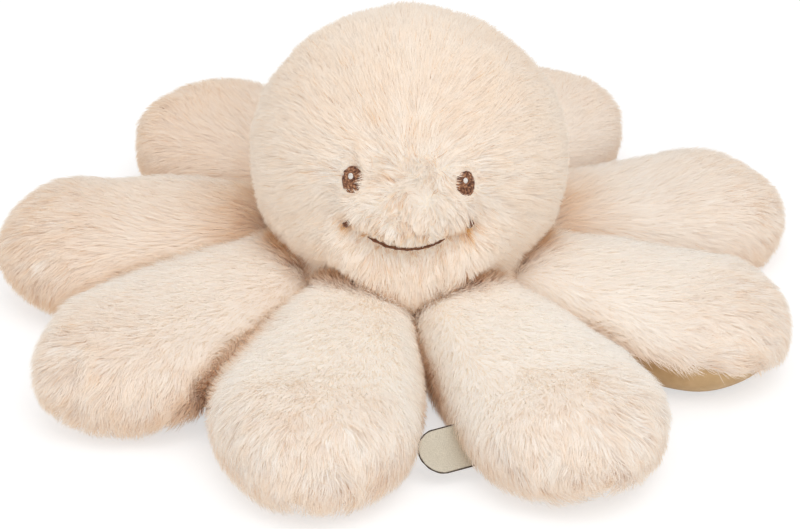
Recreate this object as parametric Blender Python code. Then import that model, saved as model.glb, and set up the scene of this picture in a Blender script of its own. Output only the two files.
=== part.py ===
"""Plush octopus: a stuffed ball head on a flat sewn base, and eight stuffed arms hinged at their root seams.

Units are metres and +Z is up. The face looks along -Y, and the origin is under the middle of the base,
on the surface that the toy lies on. Turns round the body are in degrees, from the front towards the
viewer's left.
"""

import math

import bmesh
import bpy
from mathutils import Matrix, Vector

# Cloth and fit
SEW_GAP = 0.0003
PLUSH_DEPTH = 0.0060
SMOOTH_CLOTH_DEPTH = 0.0015

# Head ball, to the middle of its pile
HEAD_RADIUS = 0.0615
HEAD_HALF_HEIGHT = 0.0565
HEAD_CENTRE_HEIGHT = 0.0680
HEAD_SEGMENTS = 24
BALL_RINGS = 12
COVE_RINGS = 3
NECK_HALVINGS = 40
FACE_CROWDING_SHARE = 0.35

# Muzzle and chin, which stand proud either side of the pulled mouth thread
MUZZLE_PROUD = 0.0044
MUZZLE_HALF_WIDTH = 0.0240
MUZZLE_HALF_HEIGHT = 0.0100
MUZZLE_RISE = 0.0030
CHIN_PROUD = 0.0030
CHIN_HALF_WIDTH = 0.0240
CHIN_HALF_HEIGHT = 0.0105
CHIN_DROP = 0.0230

# Base panel
BASE_CLOTH_DEPTH = 0.0020
BASE_SEGMENTS = 32

# Arms
ARM_ROOT_CIRCLE = 0.0500
ARM_HINGE_HEIGHT = 0.0150
ARM_ROOT_RADIUS = 0.0145
ARM_LENGTH = 0.1205
ARM_HALF_WIDTH = 0.0360
ARM_HALF_THICKNESS = 0.0200
ARM_SEAM_DROP = 0.0055
ARM_REST_CUT = 0.0005
WIDEST_SHARE = 0.68
THICKEST_SHARE = 0.73
ARM_SEGMENTS = 12
ARM_RINGS = 9

# Each arm as it lies: name, sway off its own radius towards the viewer's left, roll of its seam, and its
# shares of the length and the girth
ARMS = (
    ("front_left", -11, 0, 1.04, 1.00),
    ("left_front", -22, 0, 1.03, 1.02),
    ("left_back", -29, 0, 1.00, 1.06),
    ("back_left", -26, 0, 1.00, 1.03),
    ("back_right", 4, 0, 1.04, 1.02),
    ("right_back", 2, 0, 0.99, 1.01),
    ("right_front", 2, -12, 0.92, 0.99),
    ("front_right", -2, 0, 1.05, 1.00),
)

# Eyes, embroidered: name, turn to the viewer's right and rise above the head's middle
EYES = (
    ("left", -21.5, 17.0),
    ("right", 21.5, 15.4),
)
EYE_HALF_WIDTH = 0.0041
EYE_HALF_HEIGHT = 0.0054
EYE_DEPTH = 0.0012
GLINT_HALF_WIDTH = 0.0011
GLINT_DEPTH = 0.0005
GLINT_UP_SHARE = 0.25
PATCH_SEGMENTS = 12
PATCH_RINGS = 6

# Mouth, one pulled thread and a stitch at each corner
MOUTH_HALF_TURN = 14.5
MOUTH_END_DROP = 5.6
MOUTH_MIDDLE_DROP = 10.4
MOUTH_THREAD_RADIUS = 0.0006
MOUTH_POINTS = 17
MOUTH_THREAD_SIDES = 2
CORNER_TURN = 22.5
CORNER_DROP = 1.0
CORNER_HALF_LENGTH = 0.0024
CORNER_HALF_WIDTH = 0.0010
CORNER_DEPTH = 0.0008

# Label tag, sewn by one end into the front right arm's inner seam
TAG_ARM = "front_right"
TAG_LENGTH = 0.0180
TAG_WIDTH = 0.0175
TAG_DEPTH = 0.0008
TAG_ALONG_SHARE = 0.60
TAG_DROP = 0.0070
TAG_TILT = 40.0
TAG_SEGMENTS = 24


def clear_scene():
    for old in list(bpy.data.objects):
        bpy.data.objects.remove(old, do_unlink=True)


def new_collection(name):
    collection = bpy.data.collections.new(name)
    bpy.context.scene.collection.children.link(collection)
    return collection


def new_material(name, colour, roughness):
    material = bpy.data.materials.new(name)
    material.use_nodes = True
    shader = material.node_tree.nodes["Principled BSDF"]
    shader.inputs["Base Color"].default_value = (*colour, 1)
    shader.inputs["Roughness"].default_value = roughness
    shader.inputs["Metallic"].default_value = 0
    return material


def mesh_from(bm, name):
    bmesh.ops.recalc_face_normals(bm, faces=bm.faces)
    mesh = bpy.data.meshes.new(name)
    bm.to_mesh(mesh)
    bm.free()
    mesh.shade_smooth()
    return mesh


def add_part(name, mesh, material, parent=None, place=None):
    part = bpy.data.objects.new(name, mesh)
    toy.objects.link(part)
    part.data.materials.clear()
    part.data.materials.append(material)
    if parent:
        part.parent = parent
    if place:
        part.matrix_local = place
    return part


def sphere_cage(segments, rings):
    bm = bmesh.new()
    bmesh.ops.create_uvsphere(bm, u_segments=segments, v_segments=rings, radius=1)
    return bm


def faceted(bm):
    """Flat triangles, so that nested forms keep their gap all over."""
    bmesh.ops.triangulate(bm, faces=bm.faces[:])
    bm.normal_update()
    return bm


def sink(bm, depth_at):
    """Moves every point in along its own normal."""
    moved = [(vert, vert.co - vert.normal * depth_at(vert)) for vert in bm.verts]
    for vert, place in moved:
        vert.co = place
    return bm


def trim(bm, point, direction):
    """Cuts a form along a plane and drops what lies behind the direction."""
    everything = bm.verts[:] + bm.edges[:] + bm.faces[:]
    bmesh.ops.bisect_plane(bm, geom=everything, plane_co=point, plane_no=direction, clear_inner=True)
    return bm


def cloth_shell(make_cage, depth, point, direction):
    """A panel of cloth: a form and the same form sunk by its depth, trimmed and joined at the rims."""
    outer = trim(make_cage(), point, direction)
    inner = trim(sink(make_cage(), lambda vert: depth), point, direction)
    bmesh.ops.reverse_faces(inner, faces=inner.faces[:])
    joined = bpy.data.meshes.new("lining")
    inner.to_mesh(joined)
    inner.free()
    outer.from_mesh(joined)
    bpy.data.meshes.remove(joined)
    bmesh.ops.bridge_loops(outer, edges=[edge for edge in outer.edges if edge.is_boundary])
    return outer


# The head is a ball that draws in to a neck cove, where the arms' round roots nest, and then a short hub.
# Its cage is a sphere whose rings are sent to points of that profile.


def ball_point(polar):
    return Vector((HEAD_RADIUS * math.sin(polar), HEAD_CENTRE_HEIGHT + HEAD_HALF_HEIGHT * math.cos(polar)))


def cove_radius():
    return ARM_ROOT_RADIUS + SEW_GAP


def neck_polar():
    """The ball's polar angle where it meets the cove."""
    hinge = Vector((ARM_ROOT_CIRCLE, ARM_HINGE_HEIGHT))
    drop = (HEAD_CENTRE_HEIGHT - ARM_HINGE_HEIGHT) / HEAD_HALF_HEIGHT
    above, below = math.pi / 2, math.pi - math.atan2(ARM_ROOT_CIRCLE / HEAD_RADIUS, drop)
    for _ in range(NECK_HALVINGS):
        middle = (above + below) / 2
        if (ball_point(middle) - hinge).length > cove_radius():
            above = middle
        else:
            below = middle
    return above


def head_profile():
    hinge = Vector((ARM_ROOT_CIRCLE, ARM_HINGE_HEIGHT))
    neck = neck_polar()
    points = [ball_point(neck * ring / BALL_RINGS) for ring in range(BALL_RINGS + 1)]
    lip = points[-1] - hinge
    lip_angle = math.atan2(lip.y, lip.x)
    for ring in range(1, COVE_RINGS + 1):
        angle = lip_angle + (math.pi - lip_angle) * ring / COVE_RINGS
        points.append(hinge + cove_radius() * Vector((math.cos(angle), math.sin(angle))))
    foot = -2 * PLUSH_DEPTH
    points.append(Vector((points[-1].x, foot)))
    points.append(Vector((0, foot)))
    return points


def face_swell(side, height):
    """How far the muzzle and the chin stand out of the ball."""
    muzzle = (side / MUZZLE_HALF_WIDTH) ** 2 + ((height - MUZZLE_RISE) / MUZZLE_HALF_HEIGHT) ** 2
    chin = (side / CHIN_HALF_WIDTH) ** 2 + ((height + CHIN_DROP) / CHIN_HALF_HEIGHT) ** 2
    return MUZZLE_PROUD * math.exp(-muzzle) + CHIN_PROUD * math.exp(-chin)


def head_cage():
    profile = head_profile()
    rings = len(profile) - 1
    bm = sphere_cage(HEAD_SEGMENTS, rings)
    for vert in bm.verts:
        ring = round(math.acos(max(-1, min(1, vert.co.z))) / math.pi * rings)
        turn = math.atan2(vert.co.x, -vert.co.y)
        turn -= FACE_CROWDING_SHARE * math.sin(turn)
        radius, height = profile[ring]
        place = Vector((radius * math.sin(turn), -radius * math.cos(turn), height))
        if place.y < 0 < ring <= BALL_RINGS:
            outward = Vector((place.x, place.y, place.z - HEAD_CENTRE_HEIGHT)).normalized()
            place += outward * face_swell(place.x, place.z - HEAD_CENTRE_HEIGHT)
        vert.co = place
    return faceted(bm)


def build_head():
    floor = Vector((0, 0, BASE_CLOTH_DEPTH + SEW_GAP))
    up = Vector((0, 0, 1))
    skin = cloth_shell(head_cage, PLUSH_DEPTH, floor, up)
    add_part("head_plush", mesh_from(skin, "head_plush"), plush)

    core = trim(sink(head_cage(), lambda vert: PLUSH_DEPTH + SEW_GAP), floor, up)
    bmesh.ops.holes_fill(core, edges=[edge for edge in core.edges if edge.is_boundary])
    add_part("head_filling", mesh_from(core, "head_filling"), filling)

    base = bmesh.new()
    radius = ARM_ROOT_CIRCLE - cove_radius()
    bmesh.ops.create_cone(
        base, cap_ends=True, segments=BASE_SEGMENTS, radius1=radius, radius2=radius, depth=BASE_CLOTH_DEPTH
    )
    place = Matrix.Translation((0, 0, BASE_CLOTH_DEPTH / 2))
    add_part("base_panel", mesh_from(base, "base_panel"), smooth_cloth, place=place)


# Face pieces lie on the ball: each is placed by its turn round the head and its rise above the middle


def head_surface(turn, rise):
    flat = HEAD_RADIUS * math.cos(math.radians(rise))
    side, front = flat * math.sin(math.radians(turn)), -flat * math.cos(math.radians(turn))
    height = HEAD_HALF_HEIGHT * math.sin(math.radians(rise))
    out = Vector((side, front, height))
    return out + out.normalized() * face_swell(side, height) + Vector((0, 0, HEAD_CENTRE_HEIGHT))


def on_head(turn, rise, lift):
    """The frame of a patch that lies over the head's pile: X across, Y up and Z outward."""
    near = 1 / 2
    across = (head_surface(turn + near, rise) - head_surface(turn - near, rise)).normalized()
    up = head_surface(turn, rise + near) - head_surface(turn, rise - near)
    outward = across.cross(up).normalized()
    frame = Matrix((across, outward.cross(across), outward)).transposed().to_4x4()
    return Matrix.Translation(head_surface(turn, rise) + outward * lift) @ frame


def patch_mesh(name, half_width, half_height, depth):
    """A low dome with a flat back, like a block of satin stitch."""
    bm = sphere_cage(PATCH_SEGMENTS, PATCH_RINGS)
    for vert in bm.verts:
        vert.co = Vector((vert.co.x * half_width, vert.co.y * half_height, vert.co.z * depth))
    trim(bm, Vector((0, 0, 0)), Vector((0, 0, 1)))
    bmesh.ops.holes_fill(bm, edges=[edge for edge in bm.edges if edge.is_boundary])
    return mesh_from(bm, name)


def build_face():
    eye = patch_mesh("eye", EYE_HALF_WIDTH, EYE_HALF_HEIGHT, EYE_DEPTH)
    glint = patch_mesh("glint", GLINT_HALF_WIDTH, GLINT_HALF_WIDTH, GLINT_DEPTH)
    corner = patch_mesh("mouth_corner", CORNER_HALF_LENGTH, CORNER_HALF_WIDTH, CORNER_DEPTH)
    for side, turn, rise in EYES:
        add_part("eye_" + side, eye, brown_thread, place=on_head(turn, rise, SEW_GAP))
        front = on_head(turn, rise, SEW_GAP + EYE_DEPTH + SEW_GAP)
        front = front @ Matrix.Translation((0, EYE_HALF_HEIGHT * GLINT_UP_SHARE, 0))
        add_part("eye_glint_" + side, glint, white_thread, place=front)
        stitch = on_head(math.copysign(CORNER_TURN, turn), -CORNER_DROP, SEW_GAP)
        add_part("mouth_corner_" + side, corner, brown_thread, place=stitch)

    line = bpy.data.curves.new("mouth_line", "CURVE")
    line.dimensions = "3D"
    line.bevel_depth = MOUTH_THREAD_RADIUS
    line.bevel_resolution = MOUTH_THREAD_SIDES
    line.use_fill_caps = True
    spline = line.splines.new("POLY")
    spline.points.add(MOUTH_POINTS - 1)
    for step, point in enumerate(spline.points):
        share = 2 * step / (MOUTH_POINTS - 1) - 1
        drop = MOUTH_MIDDLE_DROP + (MOUTH_END_DROP - MOUTH_MIDDLE_DROP) * share**2
        place = on_head(MOUTH_HALF_TURN * share, -drop, SEW_GAP + MOUTH_THREAD_RADIUS)
        point.co = (*place.translation, 1)
    add_part("mouth_thread", line, brown_thread)


# An arm swells from a round root to a blunt tip. Its frame has X along it and its origin on its hinge, and
# its form is its length, half its width and half its thickness.


def arm_form(length_share, girth_share):
    return ARM_LENGTH * length_share, ARM_HALF_WIDTH * girth_share, ARM_HALF_THICKNESS * girth_share


def swell(x, most, peak, length):
    if x < 0:
        return math.sqrt(max(ARM_ROOT_RADIUS**2 - x**2, 0))
    if x < peak:
        return ARM_ROOT_RADIUS + (most - ARM_ROOT_RADIUS) * math.sin(math.pi / 2 * x / peak)
    return most * math.sqrt(max(1 - ((x - peak) / (length - peak)) ** 2, 0))


def half_width_at(x, form):
    length, half_width, _ = form
    return swell(x, half_width, length * WIDEST_SHARE, length)


def half_thickness_at(x, form):
    length, _, half_thickness = form
    return swell(x, half_thickness, length * THICKEST_SHARE, length)


def arm_rise(form):
    """How steeply an arm climbs from its hinge, so that its thickest part rests cut flat on the floor."""
    length, _, half_thickness = form
    flat_share = math.cos(math.pi / ARM_SEGMENTS)
    climb = half_thickness * flat_share - ARM_HINGE_HEIGHT - ARM_REST_CUT
    return math.asin(climb / (length * THICKEST_SHARE))


def arm_cage(form):
    bm = sphere_cage(ARM_SEGMENTS, ARM_RINGS)
    half_step = math.pi / ARM_SEGMENTS
    rise = arm_rise(form)
    length = form[0]
    for vert in bm.verts:
        x = (length - ARM_ROOT_RADIUS) / 2 + (length + ARM_ROOT_RADIUS) / 2 * vert.co.z
        angle = math.atan2(vert.co.y, vert.co.x) + half_step
        floor = -(ARM_HINGE_HEIGHT + x * math.sin(rise)) / math.cos(rise)
        height = max(half_thickness_at(x, form) * math.sin(angle), floor)
        vert.co = Vector((x, half_width_at(x, form) * math.cos(angle), height))
    return faceted(bm)


def seam_facing(roll):
    return Matrix.Rotation(math.radians(roll), 3, "X") @ Vector((0, 0, 1))


def plush_top_mesh(form, roll):
    """The arm's upper panel, which wraps round its sides to the seam."""
    facing = seam_facing(roll)
    panel = cloth_shell(lambda: arm_cage(form), PLUSH_DEPTH, facing * -ARM_SEAM_DROP, facing)
    return mesh_from(panel, "plush_top")


def underside_mesh(form, roll):
    facing = seam_facing(roll)
    seam = facing * -(ARM_SEAM_DROP + SEW_GAP)
    return mesh_from(cloth_shell(lambda: arm_cage(form), SMOOTH_CLOTH_DEPTH, seam, -facing), "underside")


def arm_filling_mesh(form, roll):
    facing = seam_facing(roll)

    def clears_plush(vert):
        return (vert.co - vert.normal * (PLUSH_DEPTH + SEW_GAP)).dot(facing) < -ARM_SEAM_DROP

    def depth_at(vert):
        on_underside = all(clears_plush(end) for edge in vert.link_edges for end in edge.verts)
        return (SMOOTH_CLOTH_DEPTH if on_underside else PLUSH_DEPTH) + SEW_GAP

    return mesh_from(sink(arm_cage(form), depth_at), "filling")


def hinge_place(index, sway):
    """The frame of an arm's hinge: on the root circle, X out along the arm, Y along the hinge."""
    seat = math.radians(360 / len(ARMS) * (index + 1 / 2))
    along = seat + math.radians(sway)
    pivot = Vector((-math.sin(seat), -math.cos(seat), 0)) * ARM_ROOT_CIRCLE
    pivot.z = ARM_HINGE_HEIGHT
    return Matrix.Translation(pivot) @ Matrix.Rotation(-math.pi / 2 - along, 4, "Z")


def build_arms():
    for index, (name, sway, roll, length_share, girth_share) in enumerate(ARMS):
        hinge = bpy.data.objects.new("arm_%s_hinge" % name, None)
        toy.objects.link(hinge)
        hinge.empty_display_size = ARM_ROOT_RADIUS
        hinge.matrix_local = hinge_place(index, sway)
        form = arm_form(length_share, girth_share)
        climb = Matrix.Rotation(-arm_rise(form), 4, "Y")
        add_part("arm_%s_plush_top" % name, plush_top_mesh(form, roll), plush, hinge, climb)
        add_part("arm_%s_underside" % name, underside_mesh(form, roll), smooth_cloth, hinge, climb)
        add_part("arm_%s_filling" % name, arm_filling_mesh(form, roll), filling, hinge, climb)
        if name == TAG_ARM:
            build_tag(hinge, climb, form)


def build_tag(hinge, climb, form):
    """A round-ended ribbon that starts inside the arm and is cut to end at the arm's own side."""
    middle = form[0] * TAG_ALONG_SHARE
    tilt = math.radians(TAG_TILT)
    round_radius = TAG_WIDTH / 2

    bm = bmesh.new()
    bmesh.ops.create_circle(bm, cap_ends=True, segments=TAG_SEGMENTS, radius=round_radius)
    for vert in bm.verts:
        reach = TAG_LENGTH - round_radius if vert.co.x > 0 else -round_radius
        vert.co += Vector((reach, 0, -TAG_DEPTH / 2))
    sides = bmesh.ops.extrude_face_region(bm, geom=bm.faces[:])
    top = [item for item in sides["geom"] if isinstance(item, bmesh.types.BMVert)]
    bmesh.ops.translate(bm, verts=top, vec=Vector((0, 0, TAG_DEPTH)))

    out = Vector((0, -1, 0))
    across = Vector((-math.cos(tilt), 0, math.sin(tilt)))
    frame = Matrix((out, across, out.cross(across))).transposed().to_4x4()
    seat = half_width_at(middle, form) * math.sqrt(1 - (TAG_DROP / half_thickness_at(middle, form)) ** 2)
    place = climb @ Matrix.Translation((middle, -seat, -TAG_DROP)) @ frame
    tag = add_part("tag", mesh_from(bm, "tag"), ribbon, hinge, place)

    arm = mesh_from(sink(arm_cage(form), lambda vert: -SEW_GAP), "tag_seat")
    cutter = bpy.data.objects.new("tag_seat_cutter", arm)
    cutters.objects.link(cutter)
    cutter.parent = hinge
    cutter.matrix_local = climb
    cutter.hide_render = True
    cutter.display_type = "WIRE"
    cut = tag.modifiers.new("seat", "BOOLEAN")
    cut.operation = "DIFFERENCE"
    cut.solver = "EXACT"
    cut.object = cutter


clear_scene()
toy = new_collection("plush_octopus")
cutters = new_collection("cutters")
plush = new_material("plush", (0.86, 0.74, 0.61), 0.95)
smooth_cloth = new_material("smooth_cloth", (0.67, 0.48, 0.29), 0.85)
filling = new_material("filling", (0.90, 0.90, 0.88), 1.0)
brown_thread = new_material("brown_thread", (0.10, 0.035, 0.020), 0.6)
white_thread = new_material("white_thread", (0.90, 0.88, 0.84), 0.5)
ribbon = new_material("ribbon", (0.60, 0.55, 0.45), 0.45)
build_head()
build_face()
build_arms()
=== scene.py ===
"""Plush octopus: long-pile fur over stuffed forms, an embroidered face, smooth undersides and a ribbon tag.

Lengths are metres. Turns and rises are degrees, while the strands' leans and BALL_END are radians. The face
looks along -Y. An arm's turn round the body runs from the front towards the viewer's left, and a turn on the
face towards the viewer's right. Layered noise is given as rows of size, strength and seed.
"""

import math
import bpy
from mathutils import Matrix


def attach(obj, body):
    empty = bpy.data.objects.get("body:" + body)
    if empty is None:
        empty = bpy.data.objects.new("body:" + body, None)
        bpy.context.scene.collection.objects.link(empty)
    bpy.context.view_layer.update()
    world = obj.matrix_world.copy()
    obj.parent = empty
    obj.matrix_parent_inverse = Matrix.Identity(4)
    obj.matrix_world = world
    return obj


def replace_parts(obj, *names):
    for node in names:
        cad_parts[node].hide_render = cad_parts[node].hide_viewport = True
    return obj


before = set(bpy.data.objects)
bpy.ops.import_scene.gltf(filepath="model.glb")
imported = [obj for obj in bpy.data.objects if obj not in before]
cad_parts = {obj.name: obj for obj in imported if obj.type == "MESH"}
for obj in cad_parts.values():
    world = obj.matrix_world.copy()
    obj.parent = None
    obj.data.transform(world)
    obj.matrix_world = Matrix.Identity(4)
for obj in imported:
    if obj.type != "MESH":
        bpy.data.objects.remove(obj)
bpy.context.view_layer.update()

from types import SimpleNamespace

import bmesh
import bpy
import numpy as np
from mathutils import Matrix, Vector, kdtree

# Camera
VIEW_ELEVATION = 28.5
VIEW_DISTANCE = 1.10
VIEW_TARGET = (-0.0033, 0.0, 0.0177)
LENS = 119.6

# Studio. Each lamp: name, place, side and power
LAMPS = (
    ("key", (0.42, -0.72, 1.44), 1.3, 8.9),
    ("top", (-0.10, -0.30, 1.70), 1.3, 2.6),
    ("fill", (-1.2, -0.6, 0.9), 1.4, 3.0),
    ("front", (0.45, -1.60, 0.45), 1.4, 2.4),
)

# Head: a ball, the neck that fills the gaps between the arms, and the foot
HEAD_RADIUS = 0.0615
HEAD_HALF_HEIGHT = 0.0565
HEAD_CENTRE = Vector((0, 0, 0.0680))
HEAD_INSET = 0.0014
BALL_END = 2.36
FOOT_RADIUS = 0.0345
FOOT_HEIGHT = 0.0030
NECK_FULL = 0.0110
NECK_HEIGHT = 0.0265
NECK_HALF_HEIGHT = 0.0100
HEAD_LUMPS = ((0.030, 0.0010, 5), (0.014, 0.0005, 6))

# The muzzle above the mouth's crease, 1, and the chin below it, -1: how far it stands out, where it starts
# and ends to grow out of the crease, its middle from there, and half its height and width, in degrees
FACE_SWELLS = ((1, 0.0056, -0.5, 6.0, 7.0, 10.0, 22.0), (-1, 0.0070, 0.5, 7.0, 16.0, 11.0, 30.0))

# Arms
ARM_ROOT_CIRCLE = 0.0500
ARM_HINGE_HEIGHT = 0.0150
ARM_ROOT_RADIUS = 0.0188
ARM_SHOULDER = 0.0216
ARM_LENGTH = 0.1205
ARM_HALF_WIDTH = 0.0360
ARM_HALF_THICK = 0.0200
ARM_RISE = math.radians(2.49)
ARM_INSET = 0.0006
WIDEST_SHARE = 0.68
THICKEST_SHARE = 0.73
LATE_SWELL_SHARE = 0.5
ARM_LUMPS = ((0.026, 0.0011, 0), (0.012, 0.0005, 3))

# A section's corners are square at 0 and an ellipse's at 1
PUFF = 0.85
ROOT_PUFF = 0.60

# The seam between plush and sole: how far it lies below the middle, and how far round the section it may go
ARM_SEAM_DROP = 0.0080
TIP_SEAM_SHARE = 0.4
SEAM_REACH = 0.85
TIP_SEAM_REACH = 0.145

# Each arm as it lies: name, sway towards the viewer's left, seam roll, length and girth shares, extra rise,
# how far its tip bends to its +Y side, and how much its tip's shoulder is cut back on that side, or on the
# other where it is below 0
ARMS = (
    ("front_left", -9.5, 0, 1.045, 1.03, 0.0, 0.0055, -0.12),
    ("left_front", -22, 0, 1.03, 1.03, 0.0, 0.0, -0.14),
    ("left_back", -29, 0, 1.00, 1.08, 1.0, 0.0, 0.0),
    ("back_left", -26, 0, 1.00, 1.05, 2.9, 0.0, 0.0),
    ("back_right", 4, 0, 1.04, 1.02, 0.0, 0.0, 0.0),
    ("right_back", 2, 0, 0.965, 1.00, -1.8, 0.0, 0.0),
    ("right_front", 2, -15, 0.915, 1.00, 0.0, 0.0, 0.16),
    ("front_right", -6.5, 0, 1.05, 1.01, 0.0, -0.0080, 0.0),
)

# Fur
PILE = 0.0100
STRAND_STEPS = 3
STRAND_WIDTH = 0.00021
WIDTH_SHARES = np.array([0.9, 1.0, 0.72, 0.0])
WIDTH_SPREAD = (0.8, 0.4)
STRANDS_PER_MM2 = 3.4
STRAND_ROLL = math.radians(55)
FACING_SHARE = 0.12
FLOOR_CLEAR = 0.0004
LEAN_SPREAD = 0.12
JITTER = 0.20
SHADE_LIMITS = (0.02, 0.98)

# Where strands lie on their colour map: start and span across it by shade, and up it from root to tip
MAP_ACROSS = (0.025, 0.95)
MAP_UP = (0.02, 0.96)
MAP_HALF_STRAND = 0.012

# Fur against a neighbour: how far it is pressed and how far its roots and tips take painted crease shade, as
# reach and gap, and the least half width that an arm's side is judged by
PRESSED = (0.0050, 0.0040)
CREASE_SHADE_ROOTS = (0.0042, 0.0030)
CREASE_SHADE_TIPS = (0.0028, 0.0030)
LEAST_HALF = 0.004

# The head's fur. A pair that blend() takes is a value and what the face, the height or chance adds to it.
# LIP_REACHES is above and below the mouth, HEAD_LOCKS is spacing and pull
HEAD_SIDES = ("front", "front_right", "right", "back_right", "back", "back_left", "left", "front_left")
HEAD_LEAN_ROOT = math.radians(38)
HEAD_LEAN_TIP = math.radians(80)
HEAD_LEAN_WAVE = 0.20
PRESSED_HEAD_UPRIGHT = 0.25
PRESSED_HEAD_OUT = 0.8
HEAD_SWIRL = ((0.018, 0.30, 31), (0.007, 0.22, 41))
UNRULY_SWIRL = ((0.0060, 1.1, 71), (0.0030, 0.7, 81))
FOOT_BARE = 0.006
FACE_HALF_SIZE = 0.030
FACE_DROP = 0.002
PARTING_RISE = 12.0
PARTING_CALM = 0.9
COMBED_DOWN = 0.35
HEAD_LENGTHS = (0.72, 0.40)
FACE_SHORTER = 0.48
FOOT_LENGTHS = (0.75, 0.25)
CHIN_LONGER = 0.12
LIP_SHORTER = (0.86, -0.30)
LIP_BARE = 0.0008
LIP_REACHES = (0.0095, 0.0040)
EYE_BARE = 0.90
EYE_SHORTER = 0.66
EYE_CALM = 0.7
EYE_JITTER = 2.5
CORNER_SHORTER = 0.45
HEAD_LOCKS = (0.0070, 0.18)
HEAD_TUFT = 0.0024
TUFT_PULL = (0.30, 0.10)
MUZZLE_PULL = 0.24
EYE_PULL_LESS = 0.85
CHIN_PULL_LESS = 0.5
FACE_WIDER = 0.15

# The head's colour, from 0, the darkest strands, to 1. The mouth corners' painted shades hold turn, drop,
# depth and reach
# The face's strands are paler: painted light where the lamps from above leave the face in shade.
HEAD_SHADE = (0.90, 0.11)
HEAD_SHADE_WAVE = 0.03
# Painted shade in the creases against the arms: how dark, and how unevenly
HEAD_CREASE_SHADE = 0.90
HEAD_CREASE_SHADE_UNEVEN = (0.80, 0.20)
# Painted shade in the hollow round each sunk eye
EYE_RIM_SHADE = 0.08
CORNER_DIMPLE_SHADES = ((-22.5, 1.0, 0.85, 0.0027), (20.8, 2.4, 0.95, 0.0036))
LIP_SHADE = 0.12
CROWN_SHADE = 0.05
MOUTH_DARKENING = 0.50
TUFT_SHADE = (0.020, 0.20)
TUFT_SHADE_MOST = 1.4
SPECK_SHADE = (0.03, 0.13)
FLECK_SHADE = 0.55
FLECK_SHARES = (0.01, 0.20)

# The arms' fur. A pair that blend() takes is a value and what the tip or chance adds to it
ARM_LEAN_ROOT = math.radians(52)
ARM_LEAN_TIP = math.radians(83)
ARM_LEAN_WAVE = (0.06, 0.14)
PRESSED_ROOT_UPRIGHT = 0.45
PRESSED_TIP_UPRIGHT = 0.50
ARM_SWIRL = ((0.022, 0.30, 331), (0.008, 0.18, 341))
TIP_SWIRL = (0.12, 0.30)
SWIRL_SHARES = (0.5, 1.5)
JITTER_SHARES = (0.6, 1.2)
COMBED_OUT = 0.8
FALL = 0.45
TIP_FALL = 0.5
PRESSED_RISE = 0.9
ARM_LENGTHS = (0.75, 0.35)
ROOT_LENGTHS = (0.85, 0.15)
ROLLED_SHORTER = 0.45
ARM_LOCK = 0.0070
ARM_LOCK_PULL = (0.06, 0.10)
ARM_TUFT = 0.0020
ARM_TUFT_PULL = (0.14, 0.18)

# The arms' colour
# Strands darken towards the arm's tip: partly the tips' own warmer tone, partly painted shade on the tips,
# which catch the most light.
ARM_SHADE = (0.98, -0.14)
ARM_SHADE_WAVE = 0.02
ARM_TUFT_SHADE = (0.010, 0.060)
ARM_SPECK_SHADE = 0.020
# Painted shade on the arms towards the back, more on the left, as if farther from the lamps
BACK_SHADE_LEFT = 0.28
BACK_SHADE_RIGHT = 0.18
# Painted shade in the arms' creases: how dark, and how unevenly
ARM_CREASE_SHADE = 0.76
ARM_CREASE_SHADE_UNEVEN = (0.75, 0.25)
# Painted shade on the arms near the head: its depth, start and reach, more on the arms at the back
NEAR_HEAD_SHADE = (0.30, 0.25)
NEAR_HEAD_SHADE_START = -0.004
NEAR_HEAD_SHADE_REACH = (0.010, 0.030)
# Painted shade on each arm's lower sides, less towards the tip
SIDE_SHADE = 0.36
SIDE_TIP_LESS = 0.6
ARM_FLECK_SHADE = 0.30
ARM_FLECK_SHARES = (0.02, 0.03)
HIDDEN_SHADE = 0.50

# Face: turns to the viewer's right and rises above the head's middle
EYES = (("left", -21.5, 17.0), ("right", 21.5, 15.4))
EYE_HALF_WIDTH = 0.0041
EYE_HALF_HEIGHT = 0.0054
EYE_DEPTH = 0.0012
RIGHT_EYE_SMALLER = 0.08
GLINT_HALF_WIDTH = 0.0010
GLINT_DEPTH = 0.0005
GLINT_UP_SHARE = 0.27
STITCH_PITCH = 0.0006
STITCH_HEIGHT = 0.00012
STITCH_LIFT = 0.0003
MOUTH_HALF_TURN = 14.5
MOUTH_ENDS = (-1.02, 0.91)
MOUTH_END_DROP = 5.6
MOUTH_MIDDLE_DROP = 10.4
CREASE_HALF_TURN = 26.0
MOUTH_THREAD_RADIUS = 0.00056
CORNER_TURN = 22.5
CORNER_DROP = 1.0
CORNER_LIFT = 0.0011
CORNER_SIZE = 0.0012
CORNER_THREAD_RADIUS = 0.00042
CORNER_STITCHES = (((-1.0, -1.3), (0.7, 1.2)), ((-0.4, -1.5), (1.3, 0.8)), ((-1.2, -0.4), (0.2, 1.5)))
THREAD_PLIES = 2
THREAD_SIDES = 10
THREAD_TWIST = 0.0007
THREAD_GROOVE = 0.22

# Base panel and tag
BASE_RADIUS = 0.0350
BASE_DEPTH = 0.0020
BASE_PUCKERS = 26
BASE_PUCKER_RISE = 0.0003
BASE_STITCHES = 72
BASE_SEAM_SHARE = 0.93
BASE_SEAM_HEIGHT = 0.0008
BASE_THREAD_RADIUS = 0.00018
TAG_ARM = 7
TAG_SWAY = -2
TAG_LENGTH = 0.0180
TAG_WIDTH = 0.0175
TAG_DEPTH = 0.0007
TAG_ALONG_SHARE = 0.60
TAG_DROP = 0.0070
TAG_TILT = 40.0
TAG_EDGE_RADIUS = 0.00026

# Colours, linear. Strands from root to tip: the darkest ones, for darker tufts and flecks and for painted
# shade, and the palest of the head and of the arms
DARK_TONE_AND_SHADE_STOPS = [(0.0, (0.46, 0.185, 0.040)), (0.5, (0.68, 0.345, 0.105)), (1.0, (0.86, 0.53, 0.22))]
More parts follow.
